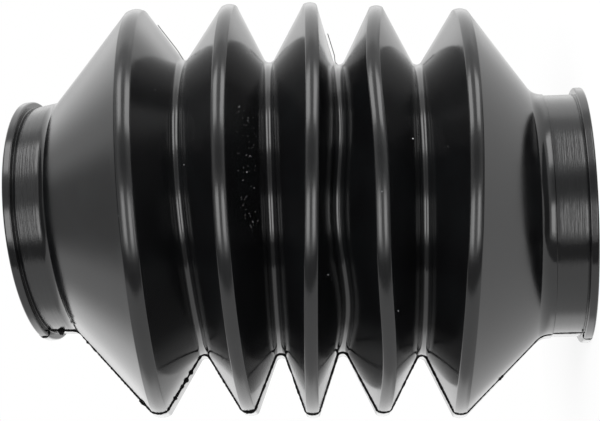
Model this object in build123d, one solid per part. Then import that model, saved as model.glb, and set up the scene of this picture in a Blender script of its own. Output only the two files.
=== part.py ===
from build123d import *
import os
from dataclasses import dataclass
from math import cos, pi, radians, sin, tan

# Rubber bellows boot, moulded in one piece: five folds between two clamp collars.
# Millimetres, +Z along the boot. It stands on the rim of its lower collar, and the
# centre of that rim is the origin. The folds are drawn in the set that the rubber
# has taken at rest, so each ring leans a little and the boot arches towards +X.

# Folds
crest_radius = 50.0  # outermost ring of each fold
root_radius = 34.0  # where the two flanks of a root would meet, without its rounding
wall = 2.0  # rubber thickness of the flanks
root_round = 1.4  # outside rounding of a root
inner_crest_round = 0.7  # rounding of the hollow inside a crest

# A crest's crown bends gently, up to an edge on either side where a flank starts
crown_round = 3.2
crown_turn = 20.0  # degrees that a crown bends to either side
edge_reach = 1.5  # how far the edges lie to either side of the crest's plane
edge_round = 0.6
end_crown_round = 3.5  # the wide top fold has a wider crown
end_edge_reach = 1.8

# Clamp collars: each has a lip at the rim and a seat for a 7 mm band clamp
lower_bore_radius = 27.0
lower_seat_wall = 2.25
lower_neck_length = 2.5  # smooth band between the seat and the first fold
upper_bore_radius = 26.0
upper_seat_wall = 1.9
upper_seat_flare = 0.8  # how much wider the upper seat is at the fold than at its lip
seat_length = 7.2
lip_length = 2.1
lip_reach = 1.6  # how far a lip stands out from its seat
lip_round = 0.5
neck_step = 0.3  # how far the lower neck stands out from its seat
neck_step_round = 0.2
lower_shoulder_round = 4.6  # hollow rounding where the first fold runs into the neck
upper_shoulder_round = 3.2
mouth_round = 0.4  # rounding of a bore at its rim

# Construction
ring_steps = 32  # sections drawn round the boot
overlap = 1.5  # how far a collar, or a cut, runs on inside what it joins
edge_slack = 0.8  # how far an edge may stray from the ring that it follows


@dataclass(frozen=True)
class Ripple:
    """A wave in a ring's height as it goes round, where the rubber has buckled."""

    waves: int
    height: float
    phase: float  # degrees


@dataclass(frozen=True)
class Corner:
    """A sharp corner of a fold line's outline, before it is rounded."""

    radius: float
    aside: float  # above the line's plane
    rounding: float


@dataclass(frozen=True)
class FoldLine:
    """A crest, a root or a shoulder, and how its ring lies at rest.

    corners run upwards. slope is the angle between the flank below and the ring's plane,
    and sway is how far the ring's centre lies towards +X. lean lifts the ring's +X side
    and tip lifts its -Y side. All angles are in degrees.
    """

    corners: tuple
    inner_rounding: float = 0.0
    slope: float = 0.0
    sway: float = 0.0
    lean: float = 0.0
    tip: float = 0.0
    ripples: tuple = ()

    def rise_from(self, below):
        """The height above the line below, which follows from the flank between them."""
        foot = below.corners[-1]
        head = self.corners[0]
        return foot.aside - head.aside + abs(head.radius - foot.radius) * tan(radians(self.slope))

    def plane(self, height):
        """The ring's plane, leaning and tipping, with its centre at this height."""
        return Plane(Location((self.sway, 0, height), (-self.tip, -self.lean, 0)))

    def rings(self, plane):
        """Points at even steps round the boot, for each corner."""
        rings = []
        for corner in self.corners:
            ring = []
            for step in range(ring_steps):
                turn = 2 * pi * step / ring_steps
                lift = sum(r.height * cos(r.waves * turn - radians(r.phase)) for r in self.ripples)
                spot = Vector(
                    corner.radius * cos(turn), -corner.radius * sin(turn), corner.aside + lift
                )
                ring.append(plane.from_local_coords(spot))
            rings.append(ring)
        return rings


def crest(slope, sway, lean, tip, swell=0.0, crown=crown_round, edges=edge_reach, ripples=()):
    """A crown between two edges. Its tip is where the tangents at its ends meet."""
    turn = radians(crown_turn)
    tip_radius = crest_radius + swell + crown * (1 / cos(turn) - 1)
    edge_radius = tip_radius - edges * tan(turn)
    corners = (
        Corner(edge_radius, -edges, edge_round),
        Corner(tip_radius, 0.0, crown),
        Corner(edge_radius, edges, edge_round),
    )
    return FoldLine(corners, inner_crest_round, slope, sway, lean, tip, ripples)


def root(slope, sway, lean, tip, swell=0.0, ripples=()):
    corners = (Corner(root_radius + swell, 0.0, root_round),)
    return FoldLine(corners, root_round + wall, slope, sway, lean, tip, ripples)


def shoulder(radius, slope=0.0, sway=0.0, lean=0.0, tip=0.0):
    return FoldLine((Corner(radius, 0.0, 0.0),), 0.0, slope, sway, lean, tip)


lower_seat_radius = lower_bore_radius + lower_seat_wall
lower_neck_radius = lower_seat_radius + neck_step
upper_seat_radius = upper_bore_radius + upper_seat_wall
upper_neck_radius = upper_seat_radius + upper_seat_flare

# From the lower shoulder up. The second crest and the root above it buckle.
fold_lines = [
    shoulder(lower_neck_radius),
    crest(slope=39.6, sway=1.4, lean=-1.7, tip=-0.6, swell=-0.5, ripples=(Ripple(2, 1.1, -37),)),
    root(slope=31.6, sway=2.2, lean=-1.1, tip=-2.5, swell=0.2),
    crest(slope=26.5, sway=2.6, lean=-1.0, tip=-1.1, swell=-0.2,
          ripples=(Ripple(2, 1.1, 77), Ripple(6, 0.3, -95))),
    root(slope=25.9, sway=2.9, lean=-0.8, tip=-1.3, swell=-0.8,
         ripples=(Ripple(2, 0.4, 66), Ripple(4, 0.6, -14), Ripple(6, 0.4, -158))),
    crest(slope=19.2, sway=3.3, lean=-1.2, tip=-3.2, swell=0.5, ripples=(Ripple(2, 0.5, -100),)),
    root(slope=23.7, sway=4.1, lean=0.8, tip=-2.6),
    crest(slope=25.7, sway=3.9, lean=1.3, tip=-1.8, swell=0.2, ripples=(Ripple(2, 0.8, 171),)),
    root(slope=33.8, sway=4.5, lean=2.1, tip=-3.4, swell=1.5, ripples=(Ripple(2, 1.0, 138),)),
    crest(slope=32.9, sway=3.8, lean=1.9, tip=-3.3, crown=end_crown_round, edges=end_edge_reach,
          ripples=(Ripple(2, 0.7, 137),)),
    shoulder(upper_neck_radius, slope=38.2, sway=3.3, lean=4.0, tip=4.3),
]


@dataclass(frozen=True)
class Flank:
    """The straight stretch between two fold lines in one section, from below upwards."""

    start: Vector
    end: Vector
    normal: Vector  # out of the rubber

    @property
    def direction(self):
        return (self.end - self.start).normalized()

    def sunk(self):
        """The same flank on the hollow's side of the wall."""
        return Flank(self.start - self.normal * wall, self.end - self.normal * wall, self.normal)

    def nearest(self, other):
        """The point of this flank's line that lies nearest to the other's."""
        along = self.direction
        square = along.cross(other.direction).cross(other.direction)
        return self.start + along * ((other.start - self.start).dot(square) / along.dot(square))

    def run_on(self, plane):
        """Where the flank's line meets the plane."""
        along = self.direction
        share = (plane.origin - self.start).dot(plane.z_dir) / along.dot(plane.z_dir)
        return self.start + along * share


def flank(below, above, tangent):
    """The flank between two corners, where tangent runs round the boot at this section."""
    return Flank(below, above, (above - below).cross(tangent).normalized())


def inner_section(flanks):
    """The hollow's corners in one section, where the sunk flanks meet."""
    sunk = [stretch.sunk() for stretch in flanks]
    meetings = [
        (lower.nearest(upper) + upper.nearest(lower)) / 2 for lower, upper in zip(sunk, sunk[1:])
    ]
    lower_end = sunk[0].run_on(lower_shoulder.offset(overlap))
    upper_end = sunk[-1].run_on(upper_shoulder.offset(overlap))
    return [lower_end, *meetings, upper_end]


def rounded(solid, rings, rounding):
    """Round the edges of the solid that follow any of these rings."""

    def stray(edge, ring):
        return max(ring.distance_to(edge.position_at(share)) for share in (0, 0.5, 1))

    edges = [edge for edge in solid.edges() if min(stray(edge, ring) for ring in rings) < edge_slack]
    return solid.fillet(rounding, edges)


def folded(rings, roundings):
    """The solid inside a skin through these rings, with its inner corners rounded.

    The sharpest roundings come first, because a later one starts beside their ends.
    """
    wires = [Wire([Edge.make_spline(list(ring), periodic=True)]) for ring in rings]
    solid = Solid.make_loft(wires, ruled=True)
    for rounding in sorted(set(roundings)):
        alike = [wire for wire, own in zip(wires[1:-1], roundings) if own == rounding]
        solid = rounded(solid, alike, rounding)
    return solid


def turned(plane, outline):
    """Revolve an outline of (radius, distance outwards) points about a plane's axis.

    The seam lies on the side away from the folds' own seam.
    """
    section_plane = Plane(origin=plane.origin, x_dir=-plane.x_dir, z_dir=plane.y_dir)
    return revolve(section_plane * make_face(outline), Axis(plane.origin, plane.z_dir), 360).solid()


def collar_core(shoulder_plane, seat_start, seat_radius, flare):
    """A collar without its bore: a lip and a seat, which runs on into the first fold."""
    seat_end = seat_start + seat_length
    lip_radius = seat_radius + lip_reach
    buried_radius = seat_radius + flare * (seat_end + overlap) / seat_length
    outline = FilletPolyline(
        (0, -overlap),
        (buried_radius, -overlap),
        (seat_radius, seat_end),
        (lip_radius, seat_end),
        (lip_radius, seat_end + lip_length),
        (0, seat_end + lip_length),
        radius=[0, 0, 0, lip_round, lip_round, 0],
        close=True,
    )
    return turned(shoulder_plane, outline)


def neck_core(shoulder_plane, length, radius):
    """The smooth band between a seat and the first fold."""
    outline = FilletPolyline(
        (0, -overlap),
        (radius, -overlap),
        (radius, length),
        (0, length),
        radius=[0, 0, neck_step_round, 0],
        close=True,
    )
    return turned(shoulder_plane, outline)


def bored(solid, shoulder_plane, radius, rim_distance):
    """Bore a collar from the cavity out past its rim, and round the mouth."""
    outline = Polyline(
        (0, -overlap),
        (radius, -overlap),
        (radius, rim_distance + overlap),
        (0, rim_distance + overlap),
        close=True,
    )
    solid = (solid - turned(shoulder_plane, outline)).solid()
    return rounded(solid, [Wire.make_circle(radius, shoulder_plane.offset(rim_distance))], mouth_round)


# The lines' planes, from the lower shoulder up
heights = [lip_length + seat_length + lower_neck_length]
for below, above in zip(fold_lines, fold_lines[1:]):
    heights.append(heights[-1] + above.rise_from(below))
planes = [line.plane(height) for line, height in zip(fold_lines, heights)]
line_rings = [line.rings(plane) for line, plane in zip(fold_lines, planes)]

# The shoulder planes face outwards
lower_shoulder = Plane(origin=planes[0].origin, x_dir=planes[0].x_dir, z_dir=-planes[0].z_dir)
upper_shoulder = planes[-1]

# The flanks, section by section. The end flanks run on into the collars.
lower_ring = []
upper_ring = []
inner_sections = []
for step in range(ring_steps):
    turn = 2 * pi * step / ring_steps
    tangent = Vector(-sin(turn), -cos(turn), 0)
    flanks = []
    for below, above in zip(line_rings, line_rings[1:]):
        flanks.append(flank(below[-1][step], above[0][step], tangent))
    lower_ring.append(flanks[0].run_on(lower_shoulder.offset(overlap)))
    upper_ring.append(flanks[-1].run_on(upper_shoulder.offset(overlap)))
    inner_sections.append(inner_section(flanks))

# The body without its hollow
folds = fold_lines[1:-1]
outer_rings = [lower_ring, *[ring for rings in line_rings[1:-1] for ring in rings], upper_ring]
body = folded(outer_rings, [corner.rounding for line in folds for corner in line.corners])
body += collar_core(lower_shoulder, lower_neck_length, lower_seat_radius, 0.0)
body += neck_core(lower_shoulder, lower_neck_length, lower_neck_radius)
body += collar_core(upper_shoulder, 0.0, upper_seat_radius, upper_seat_flare)
body = body.solid()
body = rounded(body, [Wire.make_circle(lower_neck_radius, lower_shoulder)], lower_shoulder_round)
body = rounded(body, [Wire.make_circle(upper_neck_radius, upper_shoulder)], upper_shoulder_round)

# The hollow, open through both collars
cavity = folded(list(zip(*inner_sections)), [line.inner_rounding for line in folds])
boot = (body - cavity).solid()
boot = bored(boot, lower_shoulder, lower_bore_radius, lower_neck_length + seat_length + lip_length)
boot = bored(boot, upper_shoulder, upper_bore_radius, seat_length + lip_length)

os.makedirs("parts", exist_ok=True)
export_step(boot, "parts/bellows_boot.step")
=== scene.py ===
"""A moulded rubber bellows boot, standing on its wider collar on a pale studio floor."""

import logging
from dataclasses import dataclass, field
from enum import Enum

import bpy
import numpy as np
from mathutils import Matrix, Vector

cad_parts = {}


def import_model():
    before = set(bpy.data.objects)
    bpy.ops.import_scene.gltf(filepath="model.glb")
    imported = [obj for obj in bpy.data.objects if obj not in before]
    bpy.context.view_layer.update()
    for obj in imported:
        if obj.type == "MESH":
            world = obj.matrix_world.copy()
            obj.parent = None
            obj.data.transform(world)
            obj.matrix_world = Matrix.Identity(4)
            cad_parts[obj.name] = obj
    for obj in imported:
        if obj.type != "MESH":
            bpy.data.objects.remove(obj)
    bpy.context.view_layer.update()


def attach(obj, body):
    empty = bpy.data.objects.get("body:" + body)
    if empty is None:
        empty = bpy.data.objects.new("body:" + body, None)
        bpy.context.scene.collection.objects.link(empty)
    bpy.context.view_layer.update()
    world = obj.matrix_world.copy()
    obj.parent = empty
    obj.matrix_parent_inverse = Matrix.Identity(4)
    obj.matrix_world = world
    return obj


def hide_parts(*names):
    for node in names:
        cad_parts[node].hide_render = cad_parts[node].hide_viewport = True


MM = 0.001
WHITE = "#ffffff"
LOG = logging.getLogger("bellows_boot")


# ---------------------------------------------------------------- geometry helpers


def unit(vectors: np.ndarray) -> np.ndarray:
    """Scale vectors, held along the last axis, to length one."""
    return vectors / np.linalg.norm(vectors, axis=-1, keepdims=True)


def dot(a: np.ndarray, b: np.ndarray) -> np.ndarray:
    """Dot products along the last axis, which is kept."""
    return (a * b).sum(axis=-1, keepdims=True)


def crossing(
    start: np.ndarray, along: np.ndarray, other: np.ndarray, other_along: np.ndarray
) -> np.ndarray:
    """The middle of the gap where two lines pass each other closest.

    Args:
        start: Points on the first lines.
        along: The first lines' directions.
        other: Points on the second lines.
        other_along: The second lines' directions.

    Returns:
        One point for each pair of lines.
    """
    a, b, c = dot(along, along), dot(along, other_along), dot(other_along, other_along)
    between = start - other
    d, e = dot(along, between), dot(other_along, between)
    spread = a * c - b * b
    first = start + along * (b * e - c * d) / spread
    second = other + other_along * (a * e - b * d) / spread
    return (first + second) / 2


@dataclass(frozen=True)
class Stance:
    """How a ring or a collar stands at rest.

    height and sway place its centre; lean lifts its +X side and tip its -Y side, in degrees.
    """

    height: float
    sway: float = 0.0
    lean: float = 0.0
    tip: float = 0.0

    @property
    def centre(self) -> np.ndarray:
        """The centre, in millimetres."""
        return np.array([self.sway, 0.0, self.height])

    @property
    def axes(self) -> np.ndarray:
        """The ring's own directions.

        Returns:
            Its X, Y and Z directions, one to a row.
        """
        tip, lean = np.radians(-self.tip), np.radians(-self.lean)
        about_x = np.array(
            [[1, 0, 0], [0, np.cos(tip), -np.sin(tip)], [0, np.sin(tip), np.cos(tip)]]
        )
        about_y = np.array(
            [[np.cos(lean), 0, np.sin(lean)], [0, 1, 0], [-np.sin(lean), 0, np.cos(lean)]]
        )
        return (about_x @ about_y).T

    def circle(
        self, radius: float, turns: np.ndarray, lift: np.ndarray | float = 0.0
    ) -> np.ndarray:
        """Points round this stance's axis.

        Args:
            radius: The circle's radius, in millimetres.
            turns: Angles from +X towards -Y, in radians.
            lift: How far each point stands off the ring's plane.

        Returns:
            One point for each angle.
        """
        x_dir, y_dir, z_dir = self.axes
        across = radius * (np.outer(np.cos(turns), x_dir) - np.outer(np.sin(turns), y_dir))
        return self.centre + across + np.outer(np.broadcast_to(lift, turns.shape), z_dir)


@dataclass(frozen=True)
class Ripple:
    """A wave in a ring's height as it goes round, where the rubber has buckled.

    height is in millimetres, and phase, the place of one top of the wave, in degrees.
    """

    waves: int
    height: float
    phase: float


class Zone(Enum):
    """Where on the boot a station of the section lies, which sets how its surface is finished."""

    FOLD = "fold_zone"
    CROWN = "crown_zone"
    SEAT = "seat_zone"
    HOLLOW = "hollow_zone"


@dataclass(frozen=True)
class RingCorner:
    """A sharp corner of a fold line's outline, before it is rounded.

    radius is its distance from the ring's axis, aside its height above the ring's plane and
    rounding its radius, in millimetres. steps divides the rounding.
    """

    radius: float
    aside: float = 0.0
    rounding: float = 0.0
    steps: int = 4
    zone: Zone = Zone.FOLD


@dataclass(frozen=True)
class FoldLine:
    """A crest, a root or a shoulder of the folds, and how its ring lies at rest.

    corners run upwards, and inner_rounding rounds the line on the hollow's side. slope is the
    angle between the flank below and the ring's plane; sway, lean and tip are as in a Stance.
    """

    corners: tuple[RingCorner, ...]
    inner_rounding: float = 0.0
    slope: float = 0.0
    sway: float = 0.0
    lean: float = 0.0
    tip: float = 0.0
    ripples: tuple[Ripple, ...] = ()

    def rise_from(self, below: "FoldLine") -> float:
        """Work out the ring's height above the one below from the flank between them.

        Args:
            below: The ring below.

        Returns:
            The height of this ring's centre over the other's, in millimetres.
        """
        foot, head = below.corners[-1], self.corners[0]
        run = abs(head.radius - foot.radius)
        return foot.aside - head.aside + run * np.tan(np.radians(self.slope))

    def stance(self, height: float) -> Stance:
        """How the ring stands with its centre at this height."""
        return Stance(height, self.sway, self.lean, self.tip)

    def points(self, corner: RingCorner, height: float, turns: np.ndarray) -> np.ndarray:
        """One corner's points at each angle round the boot."""
        lift = sum(
            (r.height * np.cos(r.waves * turns - np.radians(r.phase)) for r in self.ripples),
            np.zeros_like(turns) + corner.aside,
        )
        return self.stance(height).circle(corner.radius, turns, lift)


@dataclass(frozen=True)
class Corner:
    """A corner of the boot's section, given at each angle round the boot.

    at holds its sharp points and rounding its radius, in millimetres. steps divides the
    rounding.
    """

    at: np.ndarray
    rounding: float
    steps: int
    zone: Zone = Zone.FOLD


@dataclass(frozen=True)
class Stretch:
    """The straight stretch from one corner to the next: its divisions and its zone."""

    steps: int = 1
    zone: Zone = Zone.FOLD


@dataclass(frozen=True)
class Bend:
    """What a corner does at each angle round the boot.

    ahead points along the section to the next corner and inward halves the corner's opening;
    half_sine is the sine of half that opening.
    """

    ahead: np.ndarray
    inward: np.ndarray
    half_sine: np.ndarray

    @classmethod
    def at(cls, before: np.ndarray, here: np.ndarray, after: np.ndarray) -> "Bend":
        """Measure the bend at a corner between its two neighbours.

        Args:
            before: The last corner's points, one for each angle round the boot.
            here: The corner's own points.
            after: The next corner's points.

        Returns:
            The bend at each angle.
        """
        back, ahead = unit(before - here), unit(after - here)
        half_sine = np.linalg.norm(back - ahead, axis=-1, keepdims=True) / 2
        return cls(ahead, unit(back + ahead), half_sine)


@dataclass
class Skin:
    """Points of a closed surface on a grid of angles by stations along the section.

    headings are directions along the section and zones says where each station lies.
    """

    points: np.ndarray
    headings: np.ndarray
    zones: list[Zone]

    @classmethod
    def round_corners(cls, loop: list[Corner | Stretch]) -> "Skin":
        """Round a closed loop of corners and divide it into stations.

        Args:
            loop: The section's corners in order, each followed by its stretch to the next.

        Returns:
            The surface's grid, with the stations in the corners' order.
        """
        corners, stretches = loop[0::2], loop[1::2]
        arcs, headings = [], []
        befores, afters = corners[-1:] + corners[:-1], corners[1:] + corners[:1]
        for before, here, after in zip(befores, corners, afters):
            bend = Bend.at(before.at, here.at, after.at)
            centre = here.at + bend.inward * here.rounding / bend.half_sine
            sideways = unit(bend.ahead - bend.inward * dot(bend.ahead, bend.inward))
            sweep = np.pi / 2 - np.arcsin(np.clip(bend.half_sine, 0, 1))
            swings = [sweep * share for share in np.linspace(-1, 1, here.steps + 1)]
            outwards = [sideways * np.sin(s) - bend.inward * np.cos(s) for s in swings]
            arcs.append([centre + here.rounding * outward for outward in outwards])
            headings.append([sideways * np.cos(s) + bend.inward * np.sin(s) for s in swings])
        points, directions, zones = [], [], []
        for i, stretch in enumerate(stretches):
            start, end = arcs[i][-1], arcs[(i + 1) % len(corners)][0]
            run = end - start
            inner = [share / stretch.steps for share in range(1, stretch.steps)]
            points += arcs[i] + [start + run * share for share in inner]
            directions += headings[i] + [unit(run)] * len(inner)
            zones += [corners[i].zone] * len(arcs[i]) + [stretch.zone] * len(inner)
        return cls(np.stack(points, axis=1), np.stack(directions, axis=1), zones)

    @property
    def around(self) -> np.ndarray:
        """Directions round the boot at each point."""
        return unit(np.roll(self.points, -1, axis=0) - np.roll(self.points, 1, axis=0))

    @property
    def normals(self) -> np.ndarray:
        """Directions out of the rubber at each point."""
        return unit(np.cross(self.headings, self.around))

    def outer_line(self, turn: float, step: float) -> tuple[np.ndarray, np.ndarray, np.ndarray]:
        """The outside's section at one angle, from the lower rim up.

        Args:
            turn: The angle from +X towards -Y, in degrees.
            step: The distance between points, in millimetres.

        Returns:
            Even points, the directions out of the rubber and those round the boot.
        """
        outer = [i for i, zone in enumerate(self.zones) if zone is not Zone.HOLLOW]
        row, share = divmod(turn / 360 * len(self.points), 1)
        rows = [int(row), (int(row) + 1) % len(self.points)]
        sides = [grid[rows][:, outer] for grid in (self.points, self.normals, self.around)]
        points, normals, around = (a * (1 - share) + b * share for a, b in sides)
        travelled = np.append(0, np.cumsum(np.linalg.norm(np.diff(points, axis=0), axis=1)))
        even = np.arange(0, travelled[-1], step)
        drawn = [
            np.stack([np.interp(even, travelled, line[:, axis]) for axis in range(3)], axis=-1)
            for line in (points, normals, around)
        ]
        return drawn[0], unit(drawn[1]), unit(drawn[2])


# ---------------------------------------------------------------- node helpers


def linear(colour: str) -> tuple[float, float, float, float]:
    """Turn a hex sRGB colour into the linear one that shaders take.

    Args:
        colour: Such as "#1b1c1e".

    Returns:
        Linear red, green and blue, and an alpha of one.
    """
    shares = (int(colour.lstrip("#")[i : i + 2], 16) / 255 for i in (0, 2, 4))
    red, green, blue = (c / 12.92 if c <= 0.04045 else ((c + 0.055) / 1.055) ** 2.4 for c in shares)
    return red, green, blue, 1.0


def add_node(
    tree: bpy.types.NodeTree, kind: str, settings: dict | None = None, links: dict | None = None
) -> bpy.types.Node:
    """Add one node with its settings and its incoming links.

    Args:
        tree: The node tree to add to.
        kind: The node's type name, without the ShaderNode that it starts with.
        settings: Values by socket or property, sockets by name or number.
        links: Outputs to link, by the socket they go into.

    Returns:
        The new node.
    """
    node = tree.nodes.new(f"ShaderNode{kind}")
    for name, value in (settings or {}).items():
        if isinstance(name, int) or name in node.inputs:
            node.inputs[name].default_value = value
        else:
            setattr(node, name, value)
    for name, source in (links or {}).items():
        tree.links.new(source, node.inputs[name])
    return node


def per_metre(size_mm: float) -> float:
    """A texture's scale on object coordinates, for features of this size."""
    return 1 / (size_mm * MM)


def empty_tree(owner: bpy.types.Material | bpy.types.World) -> bpy.types.NodeTree:
    """Switch a material or world to nodes and clear them.

    Args:
        owner: The material or world.

    Returns:
        Its node tree, with no nodes.
    """
    owner.use_nodes = True
    owner.node_tree.nodes.clear()
    return owner.node_tree


# ---------------------------------------------------------------- finishes


@dataclass(frozen=True)
class Finish:
    """A finish by its name. Each kind of finish adds the nodes of its own surface."""

    name: str

    def surface(self, tree: bpy.types.NodeTree) -> bpy.types.NodeSocket:
        """Add the finish's nodes and give the one output that is the surface."""
        raise NotImplementedError

    def build(self) -> bpy.types.Material:
        """Make the finish's material.

        Returns:
            The material, with its surface linked.
        """
        material = bpy.data.materials.new(self.name)
        tree = empty_tree(material)
        add_node(tree, "OutputMaterial", links={"Surface": self.surface(tree)})
        LOG.info("material %s", self.name)
        return material


@dataclass(frozen=True)
class MouldedRubber(Finish):
    """Black carbon-filled rubber as it leaves a compression mould: glossy, lightly dusted.

    Where the bloom's noise passes through bloom_between, the bloom goes from none to whole.
    Specks lie in cells of speck_mm: in those whose random number is over speck_over, and up to
    speck_radius of a cell in radius. The turning marks, ring_mm apart, are drawn out to their
    length round the boot by ring_stretch.
    """

    name: str = "moulded_black_rubber"
    deep: str = "#0b0b0c"
    bloomed: str = "#0f1011"
    dust: str = "#8a8d8e"
    roughness: float = 0.1
    bloomed_roughness: float = 0.16
    crown_wear: float = 0.05
    crown_marks: float = 0.3
    ior: float = 1.56
    bloom_mm: float = 14.0
    bloom_between: tuple[float, float] = (0.38, 0.66)
    grain_mm: float = 0.5
    grain_depth_mm: float = 0.006
    ring_mm: float = 0.35
    ring_depth_mm: float = 0.05
    ring_stretch: float = 0.03
    speck_mm: float = 4.5
    speck_over: float = 0.72
    speck_radius: float = 0.055

    def surface(self, tree: bpy.types.NodeTree) -> bpy.types.NodeSocket:
        """Add the nodes for bloom, dust, grain and turning marks.

        Args:
            tree: The material's node tree.

        Returns:
            The output of its shader.
        """
        place = add_node(tree, "TexCoord").outputs["Object"]

        # Bloom: wax that has come to the surface in soft patches
        bloom = add_node(
            tree,
            "TexNoise",
            {"Scale": per_metre(self.bloom_mm), "Detail": 3.0, "Roughness": 0.55},
            {"Vector": place},
        )
        bloom_share = add_node(
            tree,
            "MapRange",
            {"From Min": self.bloom_between[0], "From Max": self.bloom_between[1]},
            {"Value": bloom.outputs["Fac"]},
        )

        # Dust: sparse light specks of different sizes
        cells = add_node(tree, "TexVoronoi", {"Scale": per_metre(self.speck_mm)}, {"Vector": place})
        speck_size = add_node(
            tree,
            "MapRange",
            {"From Min": self.speck_over, "To Max": self.speck_radius},
            {"Value": cells.outputs["Color"]},
        )
        speck = add_node(
            tree,
            "Math",
            {"operation": "LESS_THAN"},
            {0: cells.outputs["Distance"], 1: speck_size.outputs["Result"]},
        )
        body = add_node(
            tree,
            "Mix",
            {"data_type": "RGBA", 6: linear(self.deep), 7: linear(self.bloomed)},
            {0: bloom_share.outputs["Result"]},
        )
        colour = add_node(
            tree,
            "Mix",
            {"data_type": "RGBA", 7: linear(self.dust)},
            {0: speck.outputs["Value"], 6: body.outputs[2]},
        )
        skin_roughness = add_node(
            tree,
            "MapRange",
            {"To Min": self.roughness, "To Max": self.bloomed_roughness},
            {"Value": bloom_share.outputs["Result"]},
        )
        crown = add_node(tree, "Attribute", {"attribute_name": Zone.CROWN.value})
        roughness = add_node(
            tree,
            "Math",
            {"operation": "MULTIPLY_ADD", 1: self.crown_wear},
            {0: crown.outputs["Fac"], 2: skin_roughness.outputs["Result"]},
        )

        # Relief: the mould's grain, and its turning marks on the seats and, fainter, the crowns
        grain = add_node(
            tree, "TexNoise", {"Scale": per_metre(self.grain_mm), "Detail": 2.0}, {"Vector": place}
        )
        relief = add_node(
            tree,
            "Bump",
            {"Strength": 1.0, "Distance": self.grain_depth_mm * MM},
            {"Height": grain.outputs["Fac"]},
        )
        flat = add_node(tree, "UVMap", {"uv_map": BootSkin.UV_NAME})
        drawn_out = add_node(
            tree,
            "VectorMath",
            {"operation": "MULTIPLY", 1: (self.ring_stretch, 1.0, 0.0)},
            {0: flat.outputs["UV"]},
        )
        rings = add_node(
            tree,
            "TexNoise",
            {"Scale": per_metre(self.ring_mm), "Detail": 3.0, "Roughness": 0.6},
            {"Vector": drawn_out.outputs["Vector"]},
        )
        seat = add_node(tree, "Attribute", {"attribute_name": Zone.SEAT.value})
        turned = add_node(
            tree,
            "Math",
            {"operation": "MULTIPLY_ADD", 1: self.crown_marks},
            {0: crown.outputs["Fac"], 2: seat.outputs["Fac"]},
        )
        ring_height = add_node(
            tree,
            "Math",
            {"operation": "MULTIPLY"},
            {0: rings.outputs["Fac"], 1: turned.outputs["Value"]},
        )
        marked = add_node(
            tree,
            "Bump",
            {"Strength": 1.0, "Distance": self.ring_depth_mm * MM},
            {"Height": ring_height.outputs["Value"], "Normal": relief.outputs["Normal"]},
        )
        shader = add_node(
            tree,
            "BsdfPrincipled",
            {"IOR": self.ior},
            {
                "Base Color": colour.outputs[2],
                "Roughness": roughness.outputs["Value"],
                "Normal": marked.outputs["Normal"],
            },
        )
        return shader.outputs["BSDF"]


@dataclass(frozen=True)
class MattFinish(Finish):
    """An even finish that scatters the light and hardly shines."""

    colour: str
    roughness: float
    ior: float = 1.5
    specular_level: float = 0.2

    def surface(self, tree: bpy.types.NodeTree) -> bpy.types.NodeSocket:
        """Add the finish's shader."""
        shader = add_node(
            tree,
            "BsdfPrincipled",
            {
                "Base Color": linear(self.colour),
                "Roughness": self.roughness,
                "IOR": self.ior,
                "Specular IOR Level": self.specular_level,
            },
        )
        return shader.outputs["BSDF"]


@dataclass(frozen=True)
class MineralDust(MattFinish):
    """Mineral dust: pale and powdery, too fine for its grain to show."""

    name: str = "mineral_dust"
    colour: str = "#d2d3d4"
    roughness: float = 0.95


@dataclass(frozen=True)
class TornRubberPaintedShade(MattFinish):
    """The same rubber where it was torn off: matt, because the tear takes its gloss away, and with
    its shine turned low as painted shade for the torn surface shading itself.
    """

    # Painted shade: the low specular level taken from MattFinish darkens the torn fins as if they
    # shaded themselves.
    name: str = "torn_rubber_painted_shade"
    colour: str = "#070707"
    roughness: float = 0.7


@dataclass(frozen=True)
class SweptFloor(Finish):
    """A white table top under even light, which still takes the boot's shadow.

    shadow_share of the real shading shows as far as shadow_from_mm from the boot's foot, and
    none of it past shadow_to_mm.
    """

    name: str = "white_table"
    colour: str = "#f4f4f4"
    shadow_share: float = 0.14
    shadow_from_mm: float = 45.0
    shadow_to_mm: float = 150.0

    def surface(self, tree: bpy.types.NodeTree) -> bpy.types.NodeSocket:
        """Add the floor's nodes: white to the camera, with a share of real shading.

        Args:
            tree: The material's node tree.

        Returns:
            The output that mixes the two.
        """
        matt = add_node(tree, "BsdfDiffuse", {"Color": linear(self.colour), "Roughness": 1.0})
        glow = add_node(tree, "Emission", {"Color": linear(WHITE), "Strength": 1.0})
        ray = add_node(tree, "LightPath")
        place = add_node(tree, "TexCoord").outputs["Object"]
        away = add_node(tree, "VectorMath", {"operation": "LENGTH"}, {0: place})
        white = add_node(
            tree,
            "MapRange",
            {
                "From Min": self.shadow_from_mm * MM,
                "From Max": self.shadow_to_mm * MM,
                "To Min": 1 - self.shadow_share,
                "To Max": 1.0,
            },
            {"Value": away.outputs["Value"]},
        )
        seen = add_node(
            tree,
            "Math",
            {"operation": "MULTIPLY"},
            {0: ray.outputs["Is Camera Ray"], 1: white.outputs["Result"]},
        )
        surface = add_node(
            tree,
            "MixShader",
            links={0: seen.outputs["Value"], 1: matt.outputs["BSDF"], 2: glow.outputs["Emission"]},
        )
        return surface.outputs["Shader"]


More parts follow.
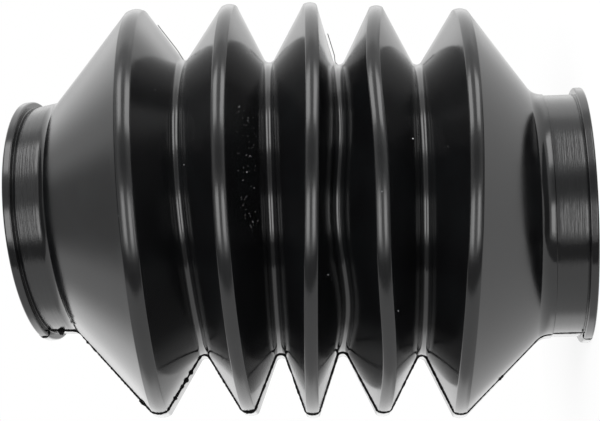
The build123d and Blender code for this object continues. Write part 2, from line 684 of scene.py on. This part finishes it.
@dataclass(frozen=True)
class CardFinish(Finish):
    """The face of a studio card: how bright it looks in the rubber.

    soft_share is the part of its width and length over which each edge fades.
    """

    strength: float
    soft_share: float

    def build(self) -> bpy.types.Material:
        """Make the card's material, which reflections see and nothing is lit by."""
        material = super().build()
        material.cycles.emission_sampling = "NONE"
        return material

    def surface(self, tree: bpy.types.NodeTree) -> bpy.types.NodeSocket:
        """Add the card's glow, clear at its edges if they are soft.

        Args:
            tree: The material's node tree.

        Returns:
            The output of its glow.
        """
        glow = add_node(tree, "Emission", {"Color": linear(WHITE), "Strength": self.strength})
        if not self.soft_share:
            return glow.outputs["Emission"]
        solid = self.faded_edges(tree)
        clear = add_node(tree, "BsdfTransparent")
        face = add_node(
            tree,
            "MixShader",
            links={0: solid, 1: clear.outputs["BSDF"], 2: glow.outputs["Emission"]},
        )
        return face.outputs["Shader"]

    def faded_edges(self, tree: bpy.types.NodeTree) -> bpy.types.NodeSocket:
        """How solid the card is: whole in its middle and clear at its four edges.

        Args:
            tree: The material's node tree.

        Returns:
            The output that is one where the card is whole and nought where it is clear.
        """
        flat = add_node(tree, "UVMap", {"uv_map": Card.UV_NAME})
        sides = add_node(tree, "SeparateXYZ", links={0: flat.outputs["UV"]})
        shares = []
        for side in ("X", "Y"):
            inwards = add_node(
                tree, "Math", {"operation": "PINGPONG", 1: 0.5}, {0: sides.outputs[side]}
            )
            shares.append(
                add_node(
                    tree,
                    "MapRange",
                    {"interpolation_type": "SMOOTHSTEP", "From Max": self.soft_share},
                    {"Value": inwards.outputs["Value"]},
                ).outputs["Result"]
            )
        both = add_node(tree, "Math", {"operation": "MULTIPLY"}, {0: shares[0], 1: shares[1]})
        return both.outputs["Value"]


# ---------------------------------------------------------------- the boot


def mesh_object(
    name: str, points: np.ndarray, faces: np.ndarray, material: bpy.types.Material
) -> bpy.types.Object:
    """Make a mesh object in the scene.

    Args:
        name: The object's name.
        points: Its vertices, in millimetres.
        faces: Vertex numbers, one row for each face, all with the same count.
        material: What it is made of.

    Returns:
        The new object.
    """
    mesh = bpy.data.meshes.new(name)
    mesh.vertices.add(len(points))
    mesh.vertices.foreach_set("co", (points * MM).astype(np.float32).ravel())
    mesh.loops.add(faces.size)
    mesh.loops.foreach_set("vertex_index", faces.astype(np.int32).ravel())
    mesh.polygons.add(len(faces))
    starts = np.arange(0, faces.size, faces.shape[1], dtype=np.int32)
    mesh.polygons.foreach_set("loop_start", starts)
    mesh.materials.append(material)
    mesh.update(calc_edges=True)
    mesh.validate()
    shown = bpy.data.objects.new(name, mesh)
    bpy.context.scene.collection.objects.link(shown)
    return shown


@dataclass(frozen=True)
class Collar:
    """A clamp collar: its bore, its seat and its lip, in millimetres.

    stance is where it joins the folds, and outwards is 1 if its axis there points out of the
    boot and -1 if it points in. bore is a radius. flare widens the seat towards the folds.
    """

    stance: Stance
    outwards: int
    bore: float
    seat_wall: float
    neck: float = 0.0
    neck_step: float = 0.0
    flare: float = 0.0
    seat_length: float = 7.2
    lip_length: float = 2.1
    lip_reach: float = 1.6
    lip_round: float = 0.5
    mouth_round: float = 0.4
    shoulder_round: float = 3.2
    neck_step_round: float = 0.2
    seat_foot_round: float = 0.12

    @property
    def shoulder_radius(self) -> float:
        """The radius at which the folds begin."""
        return self.bore + self.seat_wall + self.neck_step + self.flare

    @property
    def rim(self) -> float:
        """How far the rim is from the folds."""
        return self.neck + self.seat_length + self.lip_length

    def corner(
        self, turns: np.ndarray, radius: float, away: float, rounding: float, steps: int
    ) -> Corner:
        """A corner on the collar, this far from the folds."""
        circle = self.stance.circle(radius, turns, self.outwards * away)
        return Corner(circle, rounding, steps)

    def outline(self, turns: np.ndarray) -> list[Corner | Stretch]:
        """The collar's corners from the folds out to the rim and in to the mouth.

        The last number of a corner and the first of a stretch say how many steps divide it.

        Args:
            turns: Angles from +X towards -Y, in radians.

        Returns:
            Corners with the stretches between them, from a corner to a corner.
        """
        seat, seat_end = self.bore + self.seat_wall, self.neck + self.seat_length
        lip = seat + self.lip_reach
        shoulder = [self.corner(turns, self.shoulder_radius, 0, self.shoulder_round, 10)]
        if self.neck:
            shoulder += [
                Stretch(2),
                self.corner(turns, self.shoulder_radius, self.neck, self.neck_step_round, 3),
                Stretch(),
                self.corner(turns, seat, self.neck, self.seat_foot_round, 2),
            ]
        return shoulder + [
            Stretch(10, Zone.SEAT),
            self.corner(turns, seat, seat_end, self.seat_foot_round, 2),
            Stretch(2),
            self.corner(turns, lip, seat_end, self.lip_round, 5),
            Stretch(3),
            self.corner(turns, lip, self.rim, self.lip_round, 5),
            Stretch(4),
            self.corner(turns, self.bore, self.rim, self.mouth_round, 4),
        ]

    def bore_start(self, start: np.ndarray, flank: np.ndarray) -> np.ndarray:
        """Where lines from inside the boot meet the bore.

        Args:
            start: Points inside the boot, one for each angle.
            flank: The lines' directions.

        Returns:
            The points on the bore.
        """
        axis = self.stance.axes[2]
        away = start - self.stance.centre
        away = away - dot(away, axis) * axis
        across = flank - dot(flank, axis) * axis
        a, b, c = dot(across, across), dot(across, away), dot(away, away) - self.bore**2
        return start + flank * (-b - np.sqrt(b * b - a * c)) / a


@dataclass
class BootSkin:
    """The whole boot as one moulded skin: both collars, the five folds and the hollow.

    lines run from the lower shoulder to the upper one, and heights places their centres.
    turns_count is the number of angles that the boot is divided into.
    """

    UV_NAME = "round_by_along"

    lower: Collar
    upper: Collar
    lines: list[FoldLine]
    heights: list[float]
    wall: float
    least_round: float = 0.15
    turns_count: int = 232
    turns: np.ndarray = field(init=False)

    def __post_init__(self) -> None:
        """Divide the boot into even angles."""
        self.turns = np.linspace(0, 2 * np.pi, self.turns_count, endpoint=False)

    def flanks(self) -> list[tuple[np.ndarray, np.ndarray]]:
        """The outer ends of each flank, from the lower shoulder up."""
        feet = [line.points(line.corners[-1], height, self.turns) for line, height in self.placed]
        heads = [line.points(line.corners[0], height, self.turns) for line, height in self.placed]
        return list(zip(feet, heads[1:]))

    @property
    def placed(self) -> list[tuple[FoldLine, float]]:
        """Each line with the height of its centre."""
        return list(zip(self.lines, self.heights))

    def sunk_flanks(self) -> list[tuple[np.ndarray, np.ndarray]]:
        """A point and a direction of each flank's line on the hollow's side of the wall.

        Returns:
            One pair for each flank, from the lower shoulder up.
        """
        round_about = np.stack(
            [-np.sin(self.turns), -np.cos(self.turns), np.zeros_like(self.turns)], axis=-1
        )
        sunk = []
        for below, above in self.flanks():
            normal = unit(np.cross(above - below, round_about))
            sunk.append((below - normal * self.wall, unit(above - below)))
        return sunk

    def section(self) -> list[Corner | Stretch]:
        """The closed loop of corners and stretches round the boot's wall.

        Returns:
            Corners, each followed by its stretch: up the outside and down the inside.
        """
        flank, last_flank, crown_side = Stretch(8), Stretch(16), Stretch(1, Zone.CROWN)
        outside: list[Corner | Stretch] = [*self.lower.outline(self.turns)[::-1], flank]
        for line, height in self.placed[1:-1]:
            for corner in line.corners:
                points = line.points(corner, height, self.turns)
                outside += [Corner(points, corner.rounding, corner.steps, corner.zone), crown_side]
            outside[-1] = flank
        outside[-1] = last_flank
        outside += self.upper.outline(self.turns)

        sunk = self.sunk_flanks()
        meetings = [crossing(*lower, *upper) for lower, upper in zip(sunk, sunk[1:])]
        bore, hollow_run = Stretch(10, Zone.HOLLOW), Stretch(3, Zone.HOLLOW)
        top = self.upper.bore_start(meetings[-1], sunk[-1][1])
        bottom = self.lower.bore_start(meetings[0], -sunk[0][1])
        inside: list[Corner | Stretch] = [bore, Corner(top, self.least_round, 1, Zone.HOLLOW)]
        for at, line in zip(meetings[::-1], self.lines[-2:0:-1]):
            inside += [hollow_run, Corner(at, line.inner_rounding, 6, Zone.HOLLOW)]
        inside += [hollow_run, Corner(bottom, self.least_round, 1, Zone.HOLLOW), bore]
        return outside + inside

    def skin(self) -> Skin:
        """The boot's whole surface."""
        return Skin.round_corners(self.section())

    def build(self, skin: Skin, rubber: bpy.types.Material) -> bpy.types.Object:
        """Make the boot's mesh.

        Args:
            skin: Its surface.
            rubber: Its material.

        Returns:
            The boot, standing on its lower collar.
        """
        rows, stations, _ = skin.points.shape
        index = np.arange(rows * stations).reshape(rows, stations)
        aside, ahead = np.roll(index, -1, axis=0), np.roll(index, -1, axis=1)
        beyond = np.roll(aside, -1, axis=1)
        faces = np.stack([index, ahead, beyond, aside], axis=-1).reshape(-1, 4)
        boot = mesh_object("boot_skin", skin.points.reshape(-1, 3), faces, rubber)
        boot.data.normals_split_custom_set_from_vertices(skin.normals.reshape(-1, 3))
        for zone in (Zone.CROWN, Zone.SEAT):
            share = boot.data.attributes.new(zone.value, "FLOAT", "POINT")
            inside = np.array([float(own is zone) for own in skin.zones], dtype=np.float32)
            share.data.foreach_set("value", np.tile(inside, rows))
        self.unroll(boot.data, skin)
        LOG.info("boot skin: %d angles by %d stations", rows, stations)
        return boot

    def unroll(self, mesh: bpy.types.Mesh, skin: Skin) -> None:
        """Give the mesh a flat map, in metres round the boot by metres along its section.

        Args:
            mesh: The boot's mesh.
            skin: The surface that it was made from.
        """
        rows, stations, _ = skin.points.shape
        steps = np.linalg.norm(np.roll(skin.points, -1, axis=1) - skin.points, axis=-1)
        along = np.concatenate([[0], np.cumsum(steps.mean(axis=0))])
        round_about = np.linspace(0, 2 * np.pi * self.lower.shoulder_radius, rows + 1)
        row, station = np.divmod(np.arange(rows * stations), stations)
        rows_of = np.stack([row, row, row + 1, row + 1], axis=-1)
        stations_of = np.stack([station, station + 1, station + 1, station], axis=-1)
        flat = np.stack([round_about[rows_of], along[stations_of]], axis=-1) * MM
        layer = mesh.uv_layers.new(name=self.UV_NAME)
        layer.data.foreach_set("uv", flat.astype(np.float32).ravel())


def prism_along(name: str, grid: np.ndarray, material: bpy.types.Material) -> bpy.types.Object:
    """Make a closed four-sided bar.

    Args:
        name: Its name.
        grid: Its four corners at each place along it, in millimetres.
        material: Its material.

    Returns:
        The bar.
    """
    index = np.arange(len(grid) * 4).reshape(-1, 4)
    beside = np.roll(index, -1, axis=1)
    sides = np.stack([index[:-1], index[1:], beside[1:], beside[:-1]], axis=-1).reshape(-1, 4)
    faces = np.concatenate([sides, index[:1], index[-1:, ::-1]])
    return mesh_object(name, grid.reshape(-1, 3), faces, material)


@dataclass(frozen=True)
class Tooth:
    """A torn tooth of the flash: its place from the upper rim, its height and its length."""

    place: float
    height: float
    length: float


@dataclass(frozen=True)
class PartingFlash:
    """The thin torn fin that the mould's halves leave along one side of the boot.

    turn is its angle from +X towards -Y in degrees; lengths are in millimetres. foot and edge
    are its thicknesses where it grows from the rubber and at its top. Long tears and fine ones
    share its unevenness. From one place of thin_between to the other it comes down to
    thin_share of its height. Where the section turns sharply from step to step it is lower
    still, at least folded_share of its height, so that it doesn't fold over itself.
    """

    turn: float
    seed: int
    teeth: tuple[Tooth, ...] = ()
    foot: float = 0.5
    edge: float = 0.2
    sunk: float = 0.15
    height: float = 0.3
    least_height: float = 0.05
    unevenness: float = 0.16
    long_tears: float = 0.6
    fine_tears: float = 0.25
    thin_share: float = 0.5
    thin_between: tuple[float, float] = (178.0, 190.0)
    tooth_slope: float = 2.5
    tooth_raggedness: float = 0.2
    corner_share: float = 1.3
    corner_loss: float = 2.0
    folded_share: float = 0.2
    tear_length: float = 0.7
    drift: float = 0.05
    step: float = 0.25

    def heights(self, normals: np.ndarray) -> np.ndarray:
        """How far the fin stands out at each point, torn unevenly, with its teeth.

        Args:
            normals: The directions out of the rubber along the fin.

        Returns:
            The heights, lower in the corners, where the fin would fold over itself.
        """
        count = len(normals)
        draws = np.random.default_rng(self.seed)
        along = np.arange(count) * self.step
        tears = np.arange(0, along[-1] + 2 * self.tear_length, self.tear_length)
        torn = np.interp(along, tears, draws.uniform(-1, 1, len(tears)))
        fine = draws.uniform(-1, 1, count)
        uneven = self.long_tears * torn * abs(torn) + self.fine_tears * fine
        height = self.height + self.unevenness * uneven
        from_upper = along[-1] - along
        height = height * np.interp(from_upper, self.thin_between, (1, self.thin_share))
        for tooth in self.teeth:
            reach = 1 - np.abs(from_upper - tooth.place) / (tooth.length / 2)
            risen = tooth.height * np.clip(reach * self.tooth_slope, 0, 1)
            height = np.maximum(height, risen * (1 + self.tooth_raggedness * fine))
        turning = np.linalg.norm(np.gradient(normals, axis=0), axis=1)
        kept = self.corner_share - self.corner_loss * turning
        return np.clip(height * np.clip(kept, self.folded_share, 1), self.least_height, None)

    def build(self, skin: Skin, rubber: bpy.types.Material) -> bpy.types.Object:
        """Make the fin, with its foot sunk in the skin.

        Args:
            skin: The boot's surface.
            rubber: The torn rubber, with its painted shade.

        Returns:
            The fin.
        """
        points, normals, around = skin.outer_line(self.turn, self.step)
        height = self.heights(normals)[:, None]
        draws = np.random.default_rng(self.seed + 1)
        drift = draws.uniform(-self.drift, self.drift, len(points))[:, None]
        low, high = points - normals * self.sunk, points + normals * height
        ring = [
            low - around * self.foot / 2,
            high + around * (drift - self.edge / 2),
            high + around * (drift + self.edge / 2),
            low + around * self.foot / 2,
        ]
        grid = np.stack(ring, axis=1)
        # The fin ends at the floor, which the boot's rim stands on
        grid[..., 2] = np.maximum(grid[..., 2], 0)
        fin = prism_along(f"parting_flash_{self.turn:.0f}", grid, rubber)
        LOG.info("parting flash at %.1f degrees: %d points", self.turn, len(points))
        return fin


@dataclass(frozen=True)
class LooseFlash:
    """A strand of the flash that is torn off the fin but still hangs on by one end.

    turn is its angle in degrees; start, its free tip, and end, where it still holds on, are
    its places from the upper rim; lift is how far it stands off and thickness how thick it is.
    It has risen to its lift at risen_share of its length. count is how many points it has.
    """

    turn: float
    start: float
    end: float
    lift: float
    thickness: float = 0.18
    risen_share: float = 1 / 3
    step: float = 0.1
    count: int = 40

    def build(self, skin: Skin, rubber: bpy.types.Material) -> bpy.types.Object:
        """Make the strand.

        Args:
            skin: The boot's surface.
            rubber: The torn rubber, with its painted shade.

        Returns:
            The strand.
        """
        points, normals, around = skin.outer_line(self.turn, self.step)
        last = len(points) - 1
        places = np.linspace(self.end, self.start, self.count) / self.step
        rows = np.clip(last - places, 0, last).round().astype(int)
        raised = np.clip(np.linspace(0, 1 / self.risen_share, self.count), 0, 1)[:, None]
        middle = points[rows] + normals[rows] * self.lift * raised
        out, across = normals[rows] * self.thickness / 2, around[rows] * self.thickness / 2
        grid = np.stack([middle - out, middle - across, middle + out, middle + across], axis=1)
        strand = prism_along(f"loose_flash_{self.turn:.0f}_{self.start:.0f}", grid, rubber)
        LOG.info("loose flash at %.1f degrees, %.1f mm long", self.turn, self.end - self.start)
        return strand


@dataclass(frozen=True)
class Grain:
    """A grain of dust: its angle in degrees, its place from the upper rim and its width."""

    turn: float
    place: float
    width: float


@dataclass(frozen=True)
class SettledDust:
    """Grains of dust on the rubber: a few single ones and a thin scatter between two angles.

    places are from the upper rim and widths are the grains' own, both in millimetres.
    """

    grains: tuple[Grain, ...]
    seed: int = 11
    scattered: int = 70
    turns: tuple[float, float] = (58.0, 104.0)
    places: tuple[float, float] = (86.5, 94.5)
    widths: tuple[float, float] = (0.06, 0.17)
    step: float = 0.1

    def scatter(self) -> list[Grain]:
        """The thin scatter's grains."""
        draws = np.random.default_rng(self.seed)
        ranges = [self.turns, self.places, self.widths]
        return [Grain(*(draws.uniform(*ends) for ends in ranges)) for _ in range(self.scattered)]

    def build(self, skin: Skin, dust: bpy.types.Material) -> bpy.types.Object:
        """Make the grains, as little octahedra that are half sunk in the skin.

        Args:
            skin: The boot's surface.
            dust: The dust's material.

        Returns:
            All the grains, as one object.
        """
        octahedron = np.array(
            [[0, 2, 4], [2, 1, 4], [1, 3, 4], [3, 0, 4], [2, 0, 5], [1, 2, 5], [3, 1, 5], [0, 3, 5]]
        )
        points, faces = [], []
        for grain in (*self.grains, *self.scatter()):
            line, normals, around = skin.outer_line(grain.turn, self.step)
            row = len(line) - 1 - int(grain.place / self.step)
            along = np.cross(normals[row], around[row])
            half = grain.width / 2
            sides = [along * half, -along * half, around[row] * half, -around[row] * half]
            sides += [normals[row] * half, -normals[row] * half]
            faces.append(octahedron + len(sides) * len(points))
            points.append(line[row] + np.array(sides))
        heap = mesh_object("settled_dust", np.concatenate(points), np.concatenate(faces), dust)
        LOG.info("settled dust: %d grains", len(points))
        return heap


# ---------------------------------------------------------------- the studio


@dataclass(frozen=True)
class Card:
    """A studio card hung round the boot, which only reflections see.

    Its sides are angles in degrees: across goes round the boot from the front towards +X, and
    along goes up its length. strength and soft_share are as in a CardFinish.
    """

    UV_NAME = "card_sides"

    name: str
    strength: float
    across: tuple[float, float]
    along: tuple[float, float]
    soft_share: float = 0.0
    distance_mm: float = 1300.0
    steps: int = 12

    def build(self, centre: np.ndarray) -> None:
        """Hang the card as a piece of a sphere about the boot.

        Args:
            centre: The boot's middle, in millimetres.
        """
        across = np.radians(np.linspace(*self.across, self.steps + 1))
        along = np.radians(np.linspace(*self.along, self.steps + 1))
        a, b = np.meshgrid(across, along, indexing="ij")
        outwards = np.stack([np.sin(a) * np.cos(b), -np.cos(a) * np.cos(b), np.sin(b)], axis=-1)
        points = (centre + self.distance_mm * outwards).reshape(-1, 3)
        index = np.arange(len(points)).reshape(a.shape)
        faces = np.stack([index[:-1, :-1], index[1:, :-1], index[1:, 1:], index[:-1, 1:]], axis=-1)
        faces = faces.reshape(-1, 4)
        finish = CardFinish(self.name, self.strength, self.soft_share)
        card = mesh_object(self.name, points, faces, finish.build())
        shares = np.stack(np.divmod(np.arange(len(points)), self.steps + 1), axis=-1) / self.steps
        sides = card.data.uv_layers.new(name=self.UV_NAME)
        sides.data.foreach_set("uv", shares[faces.ravel()].astype(np.float32).ravel())
        card.visible_camera = False
        card.visible_diffuse = False
        card.visible_shadow = False
        card.visible_transmission = False


@dataclass(frozen=True)
class Lamp:
    """A soft square lamp that lights the rubber evenly and leaves the gloss to the cards."""

    name: str
    place_mm: tuple[float, float, float]
    size_mm: float
    watts: float

    def build(self, centre: np.ndarray) -> None:
        """Hang the lamp, aimed at the boot.

        Args:
            centre: The boot's middle, in millimetres.
        """
        data = bpy.data.lights.new(self.name, "AREA")
        data.shape = "SQUARE"
        data.size = self.size_mm * MM
        data.energy = self.watts
        lamp = bpy.data.objects.new(self.name, data)
        place = Vector(self.place_mm) * MM
        lamp.location = place
        lamp.rotation_euler = (Vector(centre) * MM - place).to_track_quat("-Z", "Y").to_euler()
        lamp.visible_glossy = False
        bpy.context.scene.collection.objects.link(lamp)


@dataclass
class Studio:
    """A white table and backdrop, and the cards and lamps round the boot's centre.

    ambient is how strongly the backdrop lights the boot, where 1 is as white as it looks.
    """

    centre: np.ndarray
    floor_mm: float = 6000.0
    ambient: float = 0.5

    def build(self) -> None:
        """Set up the floor, the backdrop, the cards and the lamps."""
        self.lay_floor()
        self.light_backdrop()
        for card in self.cards():
            card.build(self.centre)
        for lamp in self.lamps():
            lamp.build(self.centre)
        LOG.info("studio ready")

    def cards(self) -> list[Card]:
        """The dark flags, the bright cards behind and the four windows on the viewer's side.

        Returns:
            All the cards.
        """
        flags = [
            Card("low_flag", 0.22, (-43, -23), (-60, 60), distance_mm=1500.0),
            Card("middle_flag", 0.35, (4, 52), (-56, 56), 0.42, 1500.0),
            Card("side_flag_left", 0.12, (-43, 90), (44, 76), distance_mm=1520.0),
            Card("side_flag_right", 0.12, (-43, 90), (-76, -44), distance_mm=1520.0),
            Card("end_flag", 0.36, (-180, 180), (77, 89.9), distance_mm=1600.0, steps=36),
            Card("end_shade", 0.42, (0, 360), (66, 89), 0.45, 1580.0, steps=36),
            Card("back_card", 1.7, (98, 165), (-32, 62), 0.2, 1600.0),
            Card("under_card", 2.0, (-170, -98), (-24, 60), 0.2, 1600.0),
        ]
        windows = [
            Card(f"window_{side}_{row}", 4.6, across, along, 0.22)
            for side, along in (("left", (8.5, 36)), ("right", (-35, -8.5)))
            for row, across in enumerate([(-21, 15), (44, 88)])
        ]
        return flags + windows

    def lamps(self) -> list[Lamp]:
        """The lamps that light the rubber's own colour."""
        return [
            Lamp("front_lamp", (300, -1500, 500), 900, 20),
            Lamp("upper_lamp", (1500, -300, 300), 900, 20),
        ]

    def lay_floor(self) -> None:
        """Lay the table top at the height of the boot's rim."""
        half = self.floor_mm / 2
        points = np.array([[-half, -half, 0], [half, -half, 0], [half, half, 0], [-half, half, 0]])
        floor = mesh_object("table_top", points, np.array([[0, 1, 2, 3]]), SweptFloor().build())
        floor.visible_glossy = False

    def light_backdrop(self) -> None:
        """Light the surroundings: white where they are seen, plainer where they light."""
        world = bpy.data.worlds.new("white_backdrop")
        tree = empty_tree(world)
        ray = add_node(tree, "LightPath")
        seen = ray.outputs["Is Camera Ray"]
        for kind in ("Is Glossy Ray", "Is Transmission Ray"):
            links = {0: seen, 1: ray.outputs[kind]}
            seen = add_node(tree, "Math", {"operation": "MAXIMUM"}, links).outputs["Value"]
        strength = add_node(
            tree, "MapRange", {"To Min": self.ambient, "To Max": 1.0}, {"Value": seen}
        )
        glow = add_node(
            tree, "Background", {"Color": linear(WHITE)}, {"Strength": strength.outputs["Result"]}
        )
        add_node(tree, "OutputWorld", links={"Surface": glow.outputs["Background"]})
        bpy.context.scene.world = world


@dataclass(frozen=True)
class Viewpoint:
    """The camera: where it stands, which way it looks and which way is up, in millimetres."""

    eye: tuple[float, float, float] = (2.54, -403.11, 45.05)
    right: tuple[float, float, float] = (-0.03217, 0.0590, -0.99774)
    up: tuple[float, float, float] = (0.99948, 0.0, -0.03223)
    lens_mm: float = 99.0
    sensor_mm: float = 36.0
    nearest_mm: float = 10.0
    farthest_mm: float = 50000.0

    def build(self) -> None:
        """Place the camera and make it the scene's."""
        data = bpy.data.cameras.new("viewer")
        data.lens = self.lens_mm
        data.sensor_width = self.sensor_mm
        data.clip_start = self.nearest_mm * MM
        data.clip_end = self.farthest_mm * MM
        right, up = Vector(self.right).normalized(), Vector(self.up)
        up = (up - right * up.dot(right)).normalized()
        turn = Matrix((right, up, right.cross(up))).transposed()
        camera = bpy.data.objects.new("viewer", data)
        camera.matrix_world = Matrix.Translation(Vector(self.eye) * MM) @ turn.to_4x4()
        bpy.context.scene.collection.objects.link(camera)
        bpy.context.scene.camera = camera


# ---------------------------------------------------------------- assembly

# The boot's own sizes, in millimetres, and the angle by which a crown turns at its edges
CREST_RADIUS = 50.0
ROOT_RADIUS = 34.0
WALL = 2.0
ROOT_ROUND = 1.4
INNER_CREST_ROUND = 0.7
CROWN_TURN = np.radians(20.0)
EDGE_ROUND = 0.6
BOOT_MIDDLE = (2.5, 0.0, 66.0)


def crest(
    slope: float,
    sway: float,
    lean: float,
    tip: float,
    swell: float,
    *ripples: Ripple,
    crown: float = 3.2,
    edges: float = 1.5,
) -> FoldLine:
    """A fold's crown between two edges. Its tip is where the tangents at its ends meet.

    Args:
        slope: The lower flank's angle from the ring's plane, in degrees.
        sway: How far the ring's centre lies towards +X, in millimetres.
        lean: How far the ring's +X side is lifted, in degrees.
        tip: How far its -Y side is lifted, in degrees.
        swell: How far the crest stands out past the others.
        ripples: The ring's waves.
        crown: The crown's rounding.
        edges: How far the edges lie to either side of the ring's plane.

    Returns:
        The crest, with its lower edge first.
    """
    peak = CREST_RADIUS + swell + crown * (1 / np.cos(CROWN_TURN) - 1)
    edge = peak - edges * np.tan(CROWN_TURN)
    corners = (
        RingCorner(edge, -edges, EDGE_ROUND, 4, Zone.CROWN),
        RingCorner(peak, 0.0, crown, 8, Zone.CROWN),
        RingCorner(edge, edges, EDGE_ROUND, 4, Zone.CROWN),
    )
    return FoldLine(corners, INNER_CREST_ROUND, slope, sway, lean, tip, ripples)


def root(
    slope: float, sway: float, lean: float, tip: float, swell: float, *ripples: Ripple
) -> FoldLine:
    """The innermost ring between two folds.

    Args:
        slope: As in a crest, and so are sway, lean, tip and ripples.
        swell: How much wider this root is than the others.

    Returns:
        The root.
    """
    corners = (RingCorner(ROOT_RADIUS + swell, 0.0, ROOT_ROUND, 9),)
    return FoldLine(corners, ROOT_ROUND + WALL, slope, sway, lean, tip, ripples)


def boot_skin() -> BootSkin:
    """The boot's sizes and the set that its folds have taken.

    Returns:
        The boot, with each ring as it lies at rest.
    """
    # The lower lip, seat and neck together are 11.8 mm, and the boot stands on the lip
    lower = Collar(Stance(11.8), -1, 27.0, 2.25, neck=2.5, neck_step=0.3, shoulder_round=4.6)
    upper_sizes = {"bore": 26.0, "seat_wall": 1.9, "flare": 0.8}
    upper_radius = sum(upper_sizes.values())
    second_root = (Ripple(2, 0.4, 66), Ripple(4, 0.6, -14), Ripple(6, 0.4, -158))
    # Each ring's slope, sway, lean, tip and swell, and its ripples' waves, height and phase
    lines = [
        FoldLine((RingCorner(lower.shoulder_radius),)),
        crest(39.6, 1.4, -1.7, -0.6, -0.5, Ripple(2, 1.1, -37)),
        root(31.6, 2.2, -1.1, -2.5, 0.2),
        crest(26.5, 2.6, -1.0, -1.1, -0.2, Ripple(2, 1.1, 77), Ripple(6, 0.3, -95)),
        root(25.9, 2.9, -0.8, -1.3, -0.8, *second_root),
        crest(19.2, 3.3, -1.2, -3.2, 0.5, Ripple(2, 0.5, -100)),
        root(23.7, 4.1, 0.8, -2.6, 0.0),
        crest(25.7, 3.9, 1.3, -1.8, 0.2, Ripple(2, 0.8, 171)),
        root(33.8, 4.5, 2.1, -3.4, 1.5, Ripple(2, 1.0, 138)),
        crest(32.9, 3.8, 1.9, -3.3, 0.0, Ripple(2, 0.7, 137), crown=3.5, edges=1.8),
        FoldLine((RingCorner(upper_radius),), slope=38.2, sway=3.3, lean=4.0, tip=4.3),
    ]
    heights = [lower.stance.height]
    for below, above in zip(lines, lines[1:]):
        heights.append(heights[-1] + above.rise_from(below))
    upper = Collar(lines[-1].stance(heights[-1]), 1, **upper_sizes)
    return BootSkin(lower, upper, lines, heights, WALL)


def parting_flashes() -> list[PartingFlash]:
    """The mould's parting line on the two sides of the boot, with its teeth on one of them.

    Returns:
        The fin with the teeth, and the plain one opposite.
    """
    flap = Tooth(9.9, 1.15, 1.7)
    torn = [Tooth(17.8, 0.45, 0.9), Tooth(38.0, 0.55, 2.4), Tooth(48.6, 0.65, 0.9)]
    torn += [Tooth(51.8, 0.5, 0.9), Tooth(53.6, 0.6, 1.3), Tooth(55.8, 0.55, 1.3)]
    torn += [Tooth(80.0, 0.45, 3.4), Tooth(196.4, 0.33, 1.9)]
    return [PartingFlash(161.8, 5, (flap, *torn)), PartingFlash(341.8, 9)]


def settled_dust() -> SettledDust:
    """The dust's larger grains, and the scatter on the flank of the second fold from above."""
    grains = [Grain(65.5, 164.8, 0.5), Grain(117.3, 154.9, 0.3), Grain(109.1, 125.1, 0.3)]
    grains += [Grain(49.1, 55.6, 0.22), Grain(75.0, 65.4, 0.22), Grain(73.6, 91.8, 0.22)]
    return SettledDust((*grains, Grain(79.1, 90.2, 0.26)))


def loose_flashes() -> list[LooseFlash]:
    """The two strands torn loose on the upper side, each on the lower flank of a fold."""
    return [LooseFlash(354.0, 48.3, 60.5, 0.35), LooseFlash(2.0, 124.0, 132.5, 0.7)]


def main() -> None:
    """Load the frame, dress the boot in rubber and set up the studio round it."""
    logging.basicConfig(level=logging.INFO, format="%(name)s: %(message)s")
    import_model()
    bpy.context.scene.view_settings.view_transform = "Standard"
    boot_shape = boot_skin()
    skin = boot_shape.skin()
    boot = boot_shape.build(skin, MouldedRubber().build())
    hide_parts("bellows_boot")
    torn = TornRubberPaintedShade().build()
    fins = [flash.build(skin, torn) for flash in (*parting_flashes(), *loose_flashes())]
    dust = settled_dust().build(skin, MineralDust().build())
    for piece in (boot, dust, *fins):
        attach(piece, "root")
    Studio(np.array(BOOT_MIDDLE)).build()
    Viewpoint().build()


if __name__ == "__main__":
    main()
